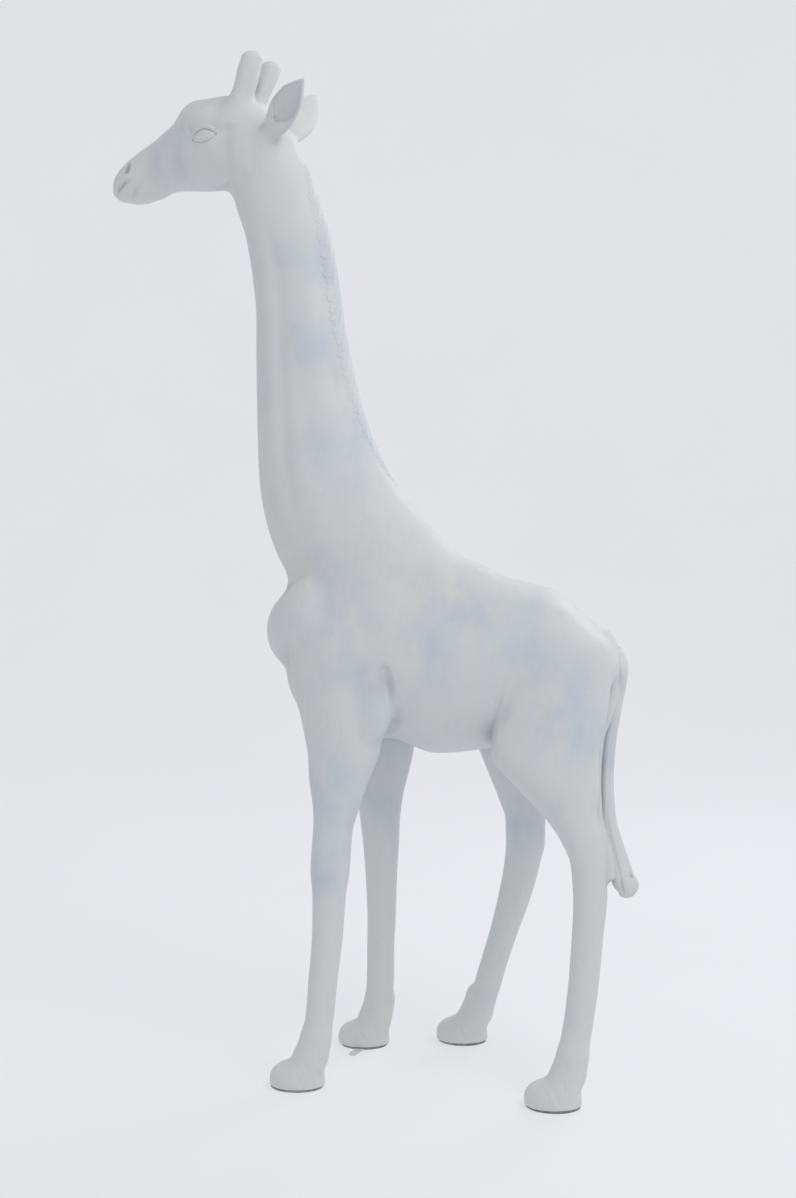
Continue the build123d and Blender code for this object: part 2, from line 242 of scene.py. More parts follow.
# Band of short hair along the nape: height, and how far it reaches round each side.
MANE = [
    (1392, 8),
    (1440, 26),
    (1549, 38),
    (1690, 42),
    (1832, 42),
    (1975, 40),
    (2055, 36),
    (2110, 28),
    (2150, 12),
]
MANE_RISE = 2.4          # how far it stands above the skin
MANE_DEPTH = 3.5         # how far it goes into the skin
# The band lies behind this line: height and X.
MANE_FRONT = [(1392, 20), (1549, -70), (1690, -110), (1832, -130), (1975, -150), (2055, -165), (2150, -190)]


# ---------------------------------------------------------------- smooth solids as distance fields
def smooth_rows(rows, key):
    """Function that gives the other columns at any value of the key column, without overshoot."""
    rows = np.array(sorted(rows, key=lambda row: row[key]), float)
    at = rows[:, key]
    values = np.delete(rows, key, axis=1)
    step = np.diff(at)[:, None]
    rise = np.diff(values, axis=0) / step
    slope = np.zeros_like(values)
    before = np.where(rise[:-1] == 0, 1e-9, rise[:-1])
    after = np.where(rise[1:] == 0, 1e-9, rise[1:])
    same_way = before * after > 0
    parts = (2 * step[1:] + step[:-1]) / before + (step[1:] + 2 * step[:-1]) / after
    inner = 3 * (step[1:] + step[:-1]) / np.where(same_way, parts, 1)
    slope[1:-1] = np.where(same_way, inner, 0)
    slope[0] = rise[0]
    slope[-1] = rise[-1]

    def look_up(query):
        query = np.clip(query, at[0], at[-1])
        k = np.clip(np.searchsorted(at, query, side="right") - 1, 0, len(at) - 2)
        width = step[k]
        t = (query[:, None] - at[k][:, None]) / width
        return (
            (2 * t**3 - 3 * t**2 + 1) * values[k]
            + (t**3 - 2 * t**2 + t) * width * slope[k]
            + (3 * t**2 - 2 * t**3) * values[k + 1]
            + (t**3 - t**2) * width * slope[k + 1]
        )

    return look_up, at[0], at[-1]


def rounded(x, y, z, a, b, c):
    """Signed distance, near enough, to an ellipsoid of half sizes a, b and c."""
    k0 = np.sqrt((x / a) ** 2 + (y / b) ** 2 + (z / c) ** 2)
    k1 = np.sqrt((x / a**2) ** 2 + (y / b**2) ** 2 + (z / c**2) ** 2)
    return (k0 - 1) * (k0 + 1e-6) / (k1 + 1e-6 / a)


def blend_in(a, b, k):
    """Union of two fields with a fillet of about k."""
    h = np.maximum(k - np.abs(a - b), 0) / k
    return np.minimum(a, b) - h * h * k * 0.25


def cut_out(a, b, k):
    """Field a without field b, with the edge rounded over about k."""
    return -blend_in(-a, b, k)


FAR = 500.0              # value of the field where there is nothing near
REACH = 30.0             # a shape is felt this far outside its box


class Shape:
    """One solid in the field: where it lies, its distance, and how it joins what is there."""

    def __init__(self, distance, low, high, join="add", soft=20.0):
        self.distance = distance
        self.low = np.array(low, float)
        self.high = np.array(high, float)
        self.join = join
        self.soft = soft

    def apply(self, points, field):
        reach = REACH + self.soft
        near = np.all((points > self.low - reach) & (points < self.high + reach), axis=1)
        if not near.any():
            return
        d = self.distance(points[near])
        old = field[near]
        if self.join == "add":
            field[near] = blend_in(old, d, self.soft)
        elif self.join == "cut":
            field[near] = cut_out(old, d, self.soft)
        else:
            field[near] = old + d


def column(stations, soft=40.0, cap=None, place=None):
    """Limb through level ellipses. cap is how far its ends bulge."""
    look_up, low, high = smooth_rows(stations, 2)
    rows = np.array(stations, float)
    reach = rows[:, 3:5].max()

    def distance(p):
        if place is not None:
            p = place(p)
        x, y, a, b = look_up(p[:, 2]).T
        beyond = np.maximum(np.maximum(low - p[:, 2], p[:, 2] - high), 0)
        c = np.minimum(a, b) if cap is None else cap
        return rounded(p[:, 0] - x, p[:, 1] - y, beyond, a, b, c)

    low_corner = rows[:, :3].min(0) - reach
    high_corner = rows[:, :3].max(0) + reach
    return Shape(distance, low_corner, high_corner, "add", soft)


def beam(stations, soft, front_cap, rear_cap, place=None):
    """Limb through upright ellipses along X. The caps are how far its ends bulge."""
    look_up, low, high = smooth_rows(stations, 0)
    rows = np.array(stations, float)

    def distance(p):
        if place is not None:
            p = place(p)
        z, a, b = look_up(p[:, 0]).T
        beyond = np.maximum(np.maximum(low - p[:, 0], p[:, 0] - high), 0)
        c = np.where(p[:, 0] < low, front_cap, rear_cap)
        return rounded(p[:, 1], p[:, 2] - z, beyond, a, b, c)

    wide = rows[:, 2].max()
    tall = rows[:, 3].max()
    low_corner = (low - wide, -wide, rows[:, 1].min() - tall)
    high_corner = (high + wide, wide, rows[:, 1].max() + tall)
    return Shape(distance, low_corner, high_corner, "add", soft)


def lump(centre, sizes, yaw=0, pitch=0, soft=20.0, join="add", place=None):
    """Ellipsoid, pitched about Y and then yawed about Z, in degrees."""
    centre = np.array(centre, float)
    turn = Matrix.Rotation(radians(yaw), 3, "Z") @ Matrix.Rotation(radians(pitch), 3, "Y")
    axes = np.array(turn).T

    def distance(p):
        if place is not None:
            p = place(p)
        q = (p - centre) @ axes.T
        return rounded(q[:, 0], q[:, 1], q[:, 2], *sizes)

    reach = max(sizes)
    return Shape(distance, centre - reach, centre + reach, join, soft)


FLAT_REACH = 200.0       # wider than the body, to each side


def relief(points, height, width, place=None, flat=False, side=0, fade=True):
    """Swell (or, with a negative height, groove) that runs along a path and fades at its ends.

    A flat one is measured in the side view only, so that it wraps round the form. With a side
    it is only on that side.
    """
    points = np.array(points, float)
    last = len(points) - 1
    heights = np.full(last + 1, float(height))
    if fade and last > 1:
        heights[0] *= 0.25
        heights[last] *= 0.25
    if flat:
        points[:, 1] = 0

    def distance(p):
        if place is not None:
            p = place(p)
        kept = p[:, 1] * side > 0 if side else 1.0
        if flat:
            p = p * np.array([1.0, 0.0, 1.0])
        nearest = np.full(len(p), 1e12)
        amount = np.zeros(len(p))
        for k in range(last):
            a = points[k]
            run = points[k + 1] - a
            t = np.clip(((p - a) @ run) / (run @ run), 0, 1)
            off = p - a - t[:, None] * run
            here = (off * off).sum(1)
            closer = here < nearest
            nearest = np.where(closer, here, nearest)
            amount = np.where(closer, heights[k] + (heights[k + 1] - heights[k]) * t, amount)
        return -amount * np.exp(-nearest / width**2) * kept

    reach = 2.2 * width - REACH
    low = points.min(0) - reach
    high = points.max(0) + reach
    if flat:
        low[1] = -FLAT_REACH
        high[1] = FLAT_REACH
    return Shape(distance, low, high, "relief", 0.0)


def blade(root, tip, facing, rows, soft, join="add", forward=0.0, place=None):
    """Leaf-shaped solid from root to tip; facing is the way of its thickness."""
    root = np.array(root, float)
    tip = np.array(tip, float)
    along = tip - root
    length = np.linalg.norm(along)
    along /= length
    out = np.array(facing, float)
    out -= along * (out @ along)
    out /= np.linalg.norm(out)
    across = np.cross(along, out)
    look_up, low, high = smooth_rows(rows, 0)

    def distance(p):
        if place is not None:
            p = place(p)
        q = p - root
        share = (q @ along) / length
        a, b = look_up(share).T
        beyond = np.maximum(np.maximum(low - share, share - high), 0) * length
        w = q @ across
        return rounded(w, q @ out - forward - w * w * EAR_CURL, beyond, a, b, np.minimum(a, b))

    wide = max(row[1] for row in rows)
    return Shape(distance, np.minimum(root, tip) - wide, np.maximum(root, tip) + wide, join, soft)


TURN_COS = cos(radians(HEAD_TURN))
TURN_SIN = sin(radians(HEAD_TURN))


def unturned(p):
    """Points in the head before it is turned."""
    c, s = TURN_COS, TURN_SIN
    q = p - HEAD_PIVOT
    return np.stack([c * q[:, 0] - s * q[:, 1], s * q[:, 0] + c * q[:, 1], q[:, 2]], 1) + HEAD_PIVOT


def turned_point(x, y, z):
    """Where a point of the unturned head is after the turn."""
    c, s = TURN_COS, TURN_SIN
    q = np.array([x, y, z], float) - HEAD_PIVOT
    return np.array([c * q[0] + s * q[1], -s * q[0] + c * q[1], q[2]]) + HEAD_PIVOT


def on_head(shape):
    """The box of a shape that was given in the unturned head, after the turn."""
    corners = [
        turned_point(x, y, z)
        for x in (shape.low[0], shape.high[0])
        for y in (shape.low[1], shape.high[1])
        for z in (shape.low[2], shape.high[2])
    ]
    shape.low = np.min(corners, axis=0)
    shape.high = np.max(corners, axis=0)
    return shape


def field_of(shapes, points):
    """Distance of each point from the skin of all the shapes."""
    field = np.full(len(points), FAR)
    for shape in shapes:
        shape.apply(points, field)
    return field


def slopes(shapes, points, step=0.4):
    """Outward unit direction of the field at each point, and the field's steepness."""
    grad = np.empty_like(points)
    for axis in range(3):
        nudge = np.zeros(3)
        nudge[axis] = step
        grad[:, axis] = field_of(shapes, points + nudge) - field_of(shapes, points - nudge)
    grad /= 2 * step
    size = np.linalg.norm(grad, axis=1)
    return grad / np.maximum(size, 1e-6)[:, None], size


# ---------------------------------------------------------------- from field to skin mesh
BLOCK = 4                # fine cells along one coarse cell


def sample(shapes, low, high, voxel):
    """Field on a fine grid, worked out only near the skin; the rest holds only its sign."""
    low = np.array(low, float)
    counts = np.ceil((np.array(high) - low) / (voxel * BLOCK)).astype(int) + 1
    coarse_axes = [low[i] + voxel * BLOCK * np.arange(counts[i]) for i in range(3)]
    coarse = np.stack(np.meshgrid(*coarse_axes, indexing="ij"), -1).reshape(-1, 3)
    # the middle of each block of fine nodes
    middle = coarse + voxel * (BLOCK - 1) / 2
    rough = field_of(shapes, middle).reshape(counts)
    near = np.abs(rough) < voxel * BLOCK * 1.6
    for axis in range(3):
        grown = near.copy()
        head = [slice(None)] * 3
        tail = [slice(None)] * 3
        head[axis] = slice(1, None)
        tail[axis] = slice(None, -1)
        grown[tuple(head)] |= near[tuple(tail)]
        grown[tuple(tail)] |= near[tuple(head)]
        near = grown

    def refine(block):
        for axis in range(3):
            block = np.repeat(block, BLOCK, axis=axis)
        return block

    field = refine(np.where(rough < 0, -FAR, FAR))
    wanted = np.argwhere(refine(near))
    points = low + voxel * wanted
    field[tuple(wanted.T)] = field_of(shapes, points)
    return field, low


def surface_nets(field, low, voxel):
    """Quads round every place where the field changes sign, one point in each cell."""
    inside = field < 0
    nx, ny, nz = field.shape
    corners = [(i, j, k) for i in (0, 1) for j in (0, 1) for k in (0, 1)]
    total = np.zeros((nx - 1, ny - 1, nz - 1), np.int8)
    for i, j, k in corners:
        total += inside[i : nx - 1 + i, j : ny - 1 + j, k : nz - 1 + k]
    cells = np.argwhere((total > 0) & (total < 8))
    number = np.full(total.shape, -1, np.int64)
    number[tuple(cells.T)] = np.arange(len(cells))
    spot = np.zeros((len(cells), 3))
    hits = np.zeros(len(cells))
    for first in range(8):
        for second in range(first + 1, 8):
            a = np.array(corners[first])
            b = np.array(corners[second])
            if np.abs(a - b).sum() != 1:
                continue
            fa = field[tuple((cells + a).T)]
            fb = field[tuple((cells + b).T)]
            crossed = (fa < 0) != (fb < 0)
            share = fa[crossed] / (fa[crossed] - fb[crossed])
            spot[crossed] += a + (b - a) * share[:, None]
            hits[crossed] += 1
    points = low + (cells + spot / hits[:, None]) * voxel
    quads = []
    for axis in range(3):
        ahead = np.eye(3, dtype=int)[axis]
        here = inside[: nx - ahead[0], : ny - ahead[1], : nz - ahead[2]]
        there = inside[ahead[0] :, ahead[1] :, ahead[2] :]
        edges = np.argwhere(here != there)
        u, v = [(1, 2), (2, 0), (0, 1)][axis]
        within = (edges[:, u] > 0) & (edges[:, v] > 0)
        within &= (edges[:, u] < number.shape[u]) & (edges[:, v] < number.shape[v])
        edges = edges[within]
        du = np.eye(3, dtype=int)[u]
        dv = np.eye(3, dtype=int)[v]
        ring = [edges - du - dv, edges - dv, edges, edges - du]
        quad = np.stack([number[tuple(corner.T)] for corner in ring], 1)
        flip = ~inside[tuple(edges.T)]
        quad[flip] = quad[flip][:, ::-1]
        quads.append(quad)
    return points, np.concatenate(quads)


def skin_mesh(shapes, low, high, voxel):
    """Points on the skin and quads between them that face outward."""
    voxel *= COARSER
    field, start = sample(shapes, low, high, voxel)
    points, quads = surface_nets(field, start, voxel)
    for _ in range(2):
        away, size = slopes(shapes, points)
        off = field_of(shapes, points) / np.maximum(size, 0.3)
        points -= away * np.clip(off, -voxel, voxel)[:, None]
    return points, face_out(shapes, points, quads)


def face_out(shapes, points, quads):
    """The quads, reversed if they face into the solid."""
    some = points[quads[::40]]
    facing = np.cross(some[:, 2] - some[:, 0], some[:, 3] - some[:, 1])
    away, _ = slopes(shapes, some.mean(1))
    return quads if (facing * away).sum() > 0 else quads[:, ::-1]


class Seam:
    """A flat cut: a point on it and the side that counts as over it."""

    def __init__(self, point, normal):
        self.point = np.array(point, float)
        self.normal = np.array(normal, float) / np.linalg.norm(normal)

    def over(self, points):
        return (points - self.point) @ self.normal > 0


def cut_mesh(points, quads, seams):
    """The same skin with an edge wherever a seam crosses it."""
    mesh = bpy.data.meshes.new("cutting")
    mesh.from_pydata((points * MM).tolist(), [], quads.tolist())
    bm = bmesh.new()
    bm.from_mesh(mesh)
    for seam in seams:
        bmesh.ops.bisect_plane(
            bm,
            geom=bm.verts[:] + bm.edges[:] + bm.faces[:],
            dist=0.00001,
            plane_co=Vector(seam.point * MM),
            plane_no=Vector(seam.normal),
        )
    bm.to_mesh(mesh)
    bm.free()
    points = np.empty(len(mesh.vertices) * 3)
    mesh.vertices.foreach_get("co", points)
    faces = [tuple(face.vertices) for face in mesh.polygons]
    centres = np.empty(len(faces) * 3)
    mesh.polygons.foreach_get("center", centres)
    bpy.data.meshes.remove(mesh)
    return points.reshape(-1, 3) / MM, faces, centres.reshape(-1, 3) / MM


def boundary_edges(faces):
    """Edges that only one face uses, in that face's direction."""
    seen = set()
    for face in faces:
        for a, b in zip(face, face[1:] + face[:1]):
            seen.add((a, b))
    return [edge for edge in seen if (edge[1], edge[0]) not in seen]


def take(points, faces, wanted):
    """Only the wanted faces, with their own points."""
    faces = [face for face, keep in zip(faces, wanted) if keep]
    used = sorted({index for face in faces for index in face})
    renumber = {old: new for new, old in enumerate(used)}
    return points[used], [tuple(renumber[i] for i in face) for face in faces]


def add_object(name, points, faces, normals=None):
    """Mesh object in metres. normals, if given, has one direction for each point."""
    mesh = bpy.data.meshes.new(name)
    mesh.from_pydata((np.asarray(points) * MM).tolist(), [], faces)
    mesh.polygons.foreach_set("use_smooth", [True] * len(mesh.polygons))
    mesh.update()
    if normals is not None:
        mesh.normals_split_custom_set_from_vertices(np.asarray(normals).tolist())
    piece = bpy.data.objects.new(name, mesh)
    bpy.context.scene.collection.objects.link(piece)
    return piece


def hollow_piece(name, shapes, points, faces, wall):
    """Closed shell: the outer skin, the same skin moved in by the wall, and the rims between."""
    away, _ = slopes(shapes, points)
    count = len(points)
    both = np.concatenate([points, points - away * wall])
    inside = [tuple(index + count for index in reversed(face)) for face in faces]
    rims = [(b, a, a + count, b + count) for a, b in boundary_edges(faces)]
    piece = add_object(name, both, list(faces) + inside + rims, np.concatenate([away, -away]))
    add_shade_and_wear(piece, shapes, points, away, 2)
    return piece


def solid_piece(name, shapes, points, faces):
    """Closed solid: the outer skin and a fan over each open end."""
    away, _ = slopes(shapes, points)
    follow = dict(boundary_edges(faces))
    points = list(points)
    normals = list(away)
    faces = list(faces)
    while follow:
        first, second = next(iter(follow.items()))
        loop = [first]
        while second != first and second in follow:
            del follow[loop[-1]]
            loop.append(second)
            second = follow[second]
        follow.pop(loop[-1], None)
        middle = len(points)
        points.append(np.mean([points[index] for index in loop], axis=0))
        normals.append(-np.mean([away[index] for index in loop], axis=0))
        for a, b in zip(loop, loop[1:] + loop[:1]):
            faces.append((b, a, middle))
    points = np.array(points)
    normals = np.array(normals)
    normals /= np.maximum(np.linalg.norm(normals, axis=1), 1e-6)[:, None]
    piece = add_object(name, points, faces, normals)
    add_shade_and_wear(piece, shapes, points, normals, 1)
    return piece


# Places where the undercoat shows blue-grey through the white: X, Y, Z and size.
BLUE_PLACES = [
    (-40, -150, 1090, 95),
    (0, -150, 950, 80),
    (-70, -150, 660, 110),
    (-70, -160, 500, 70),
    (260, -160, 1110, 110),
    (160, -150, 1010, 80),
    (400, -160, 1000, 90),
    (470, -170, 860, 120),
    (-75, -60, 1900, 90),
    (-60, -60, 1720, 110),
    (-10, -80, 1480, 100),
    (-470, 20, 2190, 70),
    (-90, 0, 2120, 60),
    (380, 160, 560, 90),
    (30, 150, 640, 80),
    (590, -60, 740, 90),
    (330, 150, 1000, 130),
    (-20, 150, 1020, 110),
    (520, 90, 1060, 90),
    (-60, 70, 1800, 120),
]


WEAR_GAP = 5.0           # the field is read this far out from the skin and in from it
CREASE_SHADE_START = 0.35      # fall of the outer reading at which a crease begins to darken with painted shade
CREASE_SHADE_FULL = 2.6
EDGE_FULL = 2.2


def set_shade_and_wear(piece, *layers):
    """Point attributes that the paint reads."""
    for name, values in zip(("crease", "edge", "blue"), layers):
        layer = piece.data.attributes.new(name, "FLOAT", "POINT")
        layer.data.foreach_set("value", values.astype(np.float32))


def add_shade_and_wear(piece, shapes, points, away, copies):
    """Mark how deep in a crease each point is, for the painted shade there, how sharp its edge and how blue
    its paint.
    """
    outside = field_of(shapes, points + away * WEAR_GAP)
    inside = field_of(shapes, points - away * WEAR_GAP)
    # painted shade: the deeper a point lies in a crease, the darker it is painted
    crease = np.clip((WEAR_GAP - outside - CREASE_SHADE_START) / CREASE_SHADE_FULL, 0, 1)
    edge = np.clip((WEAR_GAP + inside) / EDGE_FULL, 0, 1)
    blue = np.zeros(len(points))
    for x, y, z, size in BLUE_PLACES:
        off = points - np.array([x, y, z])
        blue = np.maximum(blue, np.exp(-(off * off).sum(1) / size**2))
    set_shade_and_wear(piece, *(np.tile(values, copies) for values in (crease, edge, blue)))


# ---------------------------------------------------------------- the animal
def both_sides(points, side):
    """Path on the right side, moved to the side asked for."""
    return [(x, side * y, z) for x, y, z in points]


def trunk_shapes():
    return [beam(BARREL, 40, 74, 14), column(NECK, soft=46)]


def body_shapes():
    """Barrel, neck and legs, with the muscles and folds that cross them."""
    shapes = trunk_shapes()
    for name, stations in LEGS.items():
        shapes.append(column(stations, soft=38))
        shapes += foot(name)
    for side in (LEFT, RIGHT):
        shapes += side_muscles(side)
    # fairing of the tail's root into the rump
    root = [
        (556, 0, 1046, 26, 28),
        (577, 0, 1006, 25, 26),
        (595, -4, 958, 19, 20),
        (599, -12, 908, 14, 15),
    ]
    shapes.append(column(root, soft=34, cap=14))
    # web of skin that closes the cleft between the tail and the near thigh
    web = [
        (588, -18, 962, 22, 18),
        (578, -34, 905, 24, 20),
        (562, -55, 850, 22, 18),
        (546, -74, 800, 20, 17),
        (540, -98, 712, 20, 17),
        (544, -118, 640, 20, 17),
        (558, -128, 590, 20, 18),
        (574, -140, 540, 20, 17),
        (580, -147, 505, 17, 16),
    ]
    shapes.append(column(web, soft=18, cap=10))
    # ridge of the back
    shapes.append(relief([(190, 0, 1262), (340, 0, 1185), (480, 0, 1120), (560, 0, 1040)], 3, 22))
    return shapes


def side_muscles(side):
    """Swells and folds of one side; the far legs stand further forward than the near ones."""
    ahead = 0 if side == LEFT else -42
    fore = 0 if side == LEFT else 55

    def run(points, height, width):
        return relief(both_sides(points, side), height, width)

    def fold(points, height, width):
        path = [(x + ahead, 0, z) for x, z in points]
        return relief(path, height, width, flat=True, side=side)

    return [
        # breast muscle between the chest and the front of the leg
        lump((-120, side * 62, 948), (52, 52, 74), soft=50),
        # point of the shoulder and the muscle from it to the withers
        lump((-128, side * 84, 1080), (62, 52, 84), pitch=18, soft=42),
        run([(-150, 92, 1110), (-118, 118, 1160), (-60, 134, 1190)], 7, 40),
        run([(-10, 150, 1070), (33, 138, 1172), (72, 100, 1285)], 6, 48),
        run([(104, 158, 1060), (122, 140, 1160), (140, 110, 1230)], -5, 40),
        # crease between neck and chest
        run([(-190, 26, 1186), (-172, 58, 1190), (-140, 84, 1203), (-92, 108, 1222)], -9, 21),
        run([(-92, 108, 1222), (-40, 118, 1240), (8, 122, 1256)], -4, 24),
        # hollow behind the elbow, and the elbow's point below it
        lump((76 + fore, side * 165, 914), (12, 26, 60), pitch=-7, soft=12, join="cut"),
        lump((50 + fore, side * 128, 864), (32, 25, 50), pitch=15, soft=40),
        run([(84 + fore, 130, 862), (76 + fore, 118, 828), (60 + fore, 104, 800)], -6, 14),
        run([(-30 + fore, 156, 960), (-36 + fore, 160, 890), (-34 + fore, 160, 800)], 4, 40),
        # flank fold in front of the thigh, with its thin edge of skin
        run([(376 + ahead, 166, 1000), (352 + ahead, 163, 930), (335 + ahead, 146, 862)]
            + [(326 + ahead, 122, 805)], -5, 19),
        fold([(340, 945), (328, 895), (316, 845), (307, 800)], -6.5, 8.5),
        fold([(338, 915), (332, 860), (326, 810), (326, 775)], 5, 9),
        # hip bone, thigh and point of the rump
        run([(440, 120, 1112), (478, 104, 1098)], 8, 46),
        run([(568, 74, 1000), (580, 62, 960)], 6, 34),
        run([(470 + ahead, 178, 930), (470 + ahead, 186, 850), (480 + ahead, 180, 770)], 5, 60),
        run([(556, 60, 930), (556, 84, 860), (545, 104, 780)], -5, 22),
        # belly
        run([(180, 130, 850), (270, 128, 850)], 4, 60),
        # jugular groove, and the soft ridges and grooves along the neck
        run(
            [(-226, 48, 2010), (-200, 60, 1900), (-190, 65, 1760), (-186, 76, 1590), (-176, 86, 1420)]
            + [(-150, 96, 1310)],
            -5,
            20,
        ),
        run([(-140, 70, 1980), (-120, 74, 1800), (-104, 80, 1620), (-66, 98, 1440)], 3.5, 30),
        run([(-96, 50, 1960), (-78, 58, 1800), (-50, 70, 1620), (0, 90, 1450), (40, 110, 1340)], -3, 17),
        run([(-150, 80, 1500), (-120, 100, 1380), (-60, 116, 1280)], 3, 34),
    ]


def foot(name):
    """Hoof of one leg: pastern, toe ball in front, and the folds between them."""
    x, y = FEET[name]
    side = LEFT if name.endswith("left") else RIGHT
    outer = y + side * 50
    pastern = [
        (x + 43, y, 114, 34, 33),
        (x + 33, y, 80, 39, 37),
        (x + 21, y, 54, 46, 42),
        (x + 3, y, 32, 59, 47),
        (x + 1, y, 6, 62, 49),
        (x - 3, y, -12, 44, 36),
    ]
    return [
        column(pastern, soft=14),
        lump((x - 15, y, 20), (49, 49, 38), soft=12),
        relief([(x + 1, outer - 2 * side, 60), (x + 8, outer, 34), (x + 20, outer + side, 8)], -3.2, 4.6),
        relief([(x - 7, outer - 2 * side, 52), (x - 1, outer, 32)], 1.8, 6),
        relief([(x + 21, outer - 6 * side, 66), (x + 30, outer - 5 * side, 48)], -2.2, 4.5),
        relief([(x - 40, y - side * 30, 66), (x - 6, y - side * 44, 50), (x + 12, y - side * 47, 20)], -2, 5),
        relief([(x - 58, y, 12), (x - 30, y + 44 * side, 12), (x + 20, y + 50 * side, 12)], 1.2, 7),
    ]


# Folds of the face in the side view of the unturned head: height, width, and X and Z along each.
FACE_FOLDS = [
    # upper lip, the mouth, and the folds of the lower lip and chin
    (6.5, 6.0, [(-646, 2126), (-630, 2141), (-608, 2151), (-588, 2153)]),
    (-6.5, 4.4, [(-650, 2112), (-632, 2125), (-612, 2138), (-588, 2145)]),
    (3.6, 6.0, [(-636, 2106), (-618, 2120), (-600, 2131)]),
    (-3.6, 4.2, [(-600, 2100), (-590, 2118), (-566, 2131)]),
    (2.6, 7, [(-585, 2100), (-573, 2116), (-552, 2126)]),
    (3, 14, [(-604, 2098), (-580, 2098)]),
    (-3.5, 18, [(-532, 2106), (-490, 2112), (-440, 2112)]),
    # edge of the jaw and the hollow in front of it
    (-3.2, 9, [(-398, 2122), (-352, 2110), (-314, 2112), (-296, 2132)]),
    (-2.2, 14, [(-300, 2236), (-302, 2180), (-303, 2136)]),
    (2.6, 18, [(-276, 2225), (-277, 2175), (-282, 2128)]),
    (3, 42, [(-372, 2150), (-330, 2150)]),
    # hollow from the eye down to the muzzle, and the bone above it
    (-3.4, 19, [(-412, 2234), (-444, 2206), (-470, 2170)]),
    (2.2, 12, [(-430, 2262), (-500, 2236), (-575, 2200)]),
    (-1.8, 16, [(-470, 2210), (-540, 2178)]),
]


def head_shapes():
    """The head, given before it is turned."""
    shapes = [
        beam(HEAD, 34, 6, 46, place=unturned),
        # median bump of the forehead, and the level brow behind it
        lump((-414, 0, 2268), (62, 47, 57), soft=18, place=unturned),
        lump((-352, 0, 2276), (60, 46, 44), soft=26, place=unturned),
    ]
    for side in (LEFT, RIGHT):
        shapes += half_head(side)
    for height, width, line in FACE_FOLDS:
        path = [(x, 0, z) for x, z in line]
        shapes.append(relief(path, height, width, place=unturned, flat=True))
    return [on_head(shape) for shape in shapes]


def half_head(side):
    """Horn, ear, brow, eye socket and nostril of one side."""
    root, tip, facing = EARS[side]
    horn = [(x, side * off, z, radius, radius) for x, off, z, radius in HORN]

    def run(points, height, width):
        return relief(both_sides(points, side), height, width, place=unturned)

    return [
        column(horn, soft=24, cap=19, place=unturned),
        blade(root, tip, facing, EAR, soft=13, place=unturned),
        blade(root, tip, facing, EAR_SCOOP, soft=7, join="cut", forward=9, place=unturned),
        # brow bone over the eye, with its two fine edges
        lump((-372, side * 50, 2260), (46, 22, 24), yaw=side * -6, soft=30, place=unturned),
        run([(-392, 47, 2296), (-408, 53, 2276), (-415, 60, 2252), (-409, 66, 2226)], 6.5, 6.5),
        run([(-382, 53, 2290), (-396, 57, 2270), (-402, 63, 2250), (-399, 67, 2232)], -4.8, 4.2),
        run([(-371, 56, 2284), (-384, 60, 2266), (-390, 64, 2248)], 3.6, 4.5),
        # eye: a shallow swell inside a cut line that follows the lids
        lump((-363, side * 54, 2218), (35, 20, 21), soft=12, place=unturned),
        *eye_lines(side),
        # nostril and the rim round it
        run([(-616, 36, 2158), (-614, 38, 2178), (-600, 37, 2190), (-590, 38, 2176)], 2.2, 6),
        lump((-603, side * 42, 2170), (7.5, 16, 16), pitch=26, soft=3, join="cut", place=unturned),
    ]


# Outline of the eye opening in the side view of the unturned head.
EYE_FRONT = (-395.0, 2212.0)
EYE_BACK = (-332.0, 2219.0)
EYE_RISE = 17.0
EYE_DROP = 13.0
EYE_GRID = (15, 33)      # points up and along the opening
EYE_PROUD = 0.5          # how far the rim stands out of the socket
EYE_DOME = 2.6           # how much further the middle stands out
LID_GROOVE = 1.8
EYE_DEPTH = 9.0


def eye_edge(u):
    """X, top and bottom of the eye opening at a share of the way back."""
    x = EYE_FRONT[0] + (EYE_BACK[0] - EYE_FRONT[0]) * u
    chord = EYE_FRONT[1] + (EYE_BACK[1] - EYE_FRONT[1]) * u
    bow = max(sin(pi * u), 0.0) ** 0.75
    return x, chord + EYE_RISE * bow * (1.1 - 0.25 * u), chord - EYE_DROP * bow * (0.85 + 0.2 * u)


def eye_lines(side):
    """Cut line round the lids, and the soft roll of skin over and under it."""
    shares = [k / 8 for k in range(9)]
    over = [(eye_edge(u)[0], 66, eye_edge(u)[1]) for u in shares]
    under = [(eye_edge(u)[0], 66, eye_edge(u)[2]) for u in shares]
    roll = [(x, y, z + 7) for x, y, z in over[1:-1]]
    bag = [(x, y, z - 7) for x, y, z in under[2:-1]]
    lines = []
    for points, height, width in ((over, -2.6, 2.6), (under, -2.2, 2.4), (roll, 1.5, 4), (bag, 0.9, 4)):
        path = both_sides(points, side)
        shape = relief(path, height, width, place=unturned, flat=True, fade=False)
        shape.low[1] = 20 if side == RIGHT else -150
        shape.high[1] = 150 if side == RIGHT else -20
        lines.append(shape)
    return lines


ANIMAL = body_shapes() + head_shapes()
HEAD_NORMAL = (-sin(radians(HEAD_SEAM_TILT)), 0, cos(radians(HEAD_SEAM_TILT)))
FLOOR_SEAM = Seam((0, 0, SOLE_TOP), (0, 0, 1))
LEG_TOP = Seam((0, 0, LEG_SEAM), (0, 0, 1))
NECK_FOOT = Seam((0, 0, NECK_SEAM), (0, 0, 1))
HEAD_FOOT = Seam(HEAD_SEAM_POINT, HEAD_NORMAL)
BODY_MIDDLE = Seam((0, 0, 0), (0, 1, 0))
HEAD_ACROSS = turned_point(0, 1, 0) - turned_point(0, 0, 0)
HEAD_MIDDLE = Seam(HEAD_PIVOT, HEAD_ACROSS)
HORN_FOOT = Seam((0, 0, 2322), (0, 0, 1))


def region(low, high, voxel, seams):
    """Skin inside a box, cut at the seams."""
    points, quads = skin_mesh(ANIMAL, low, high, voxel)
    return cut_mesh(points, quads, seams)


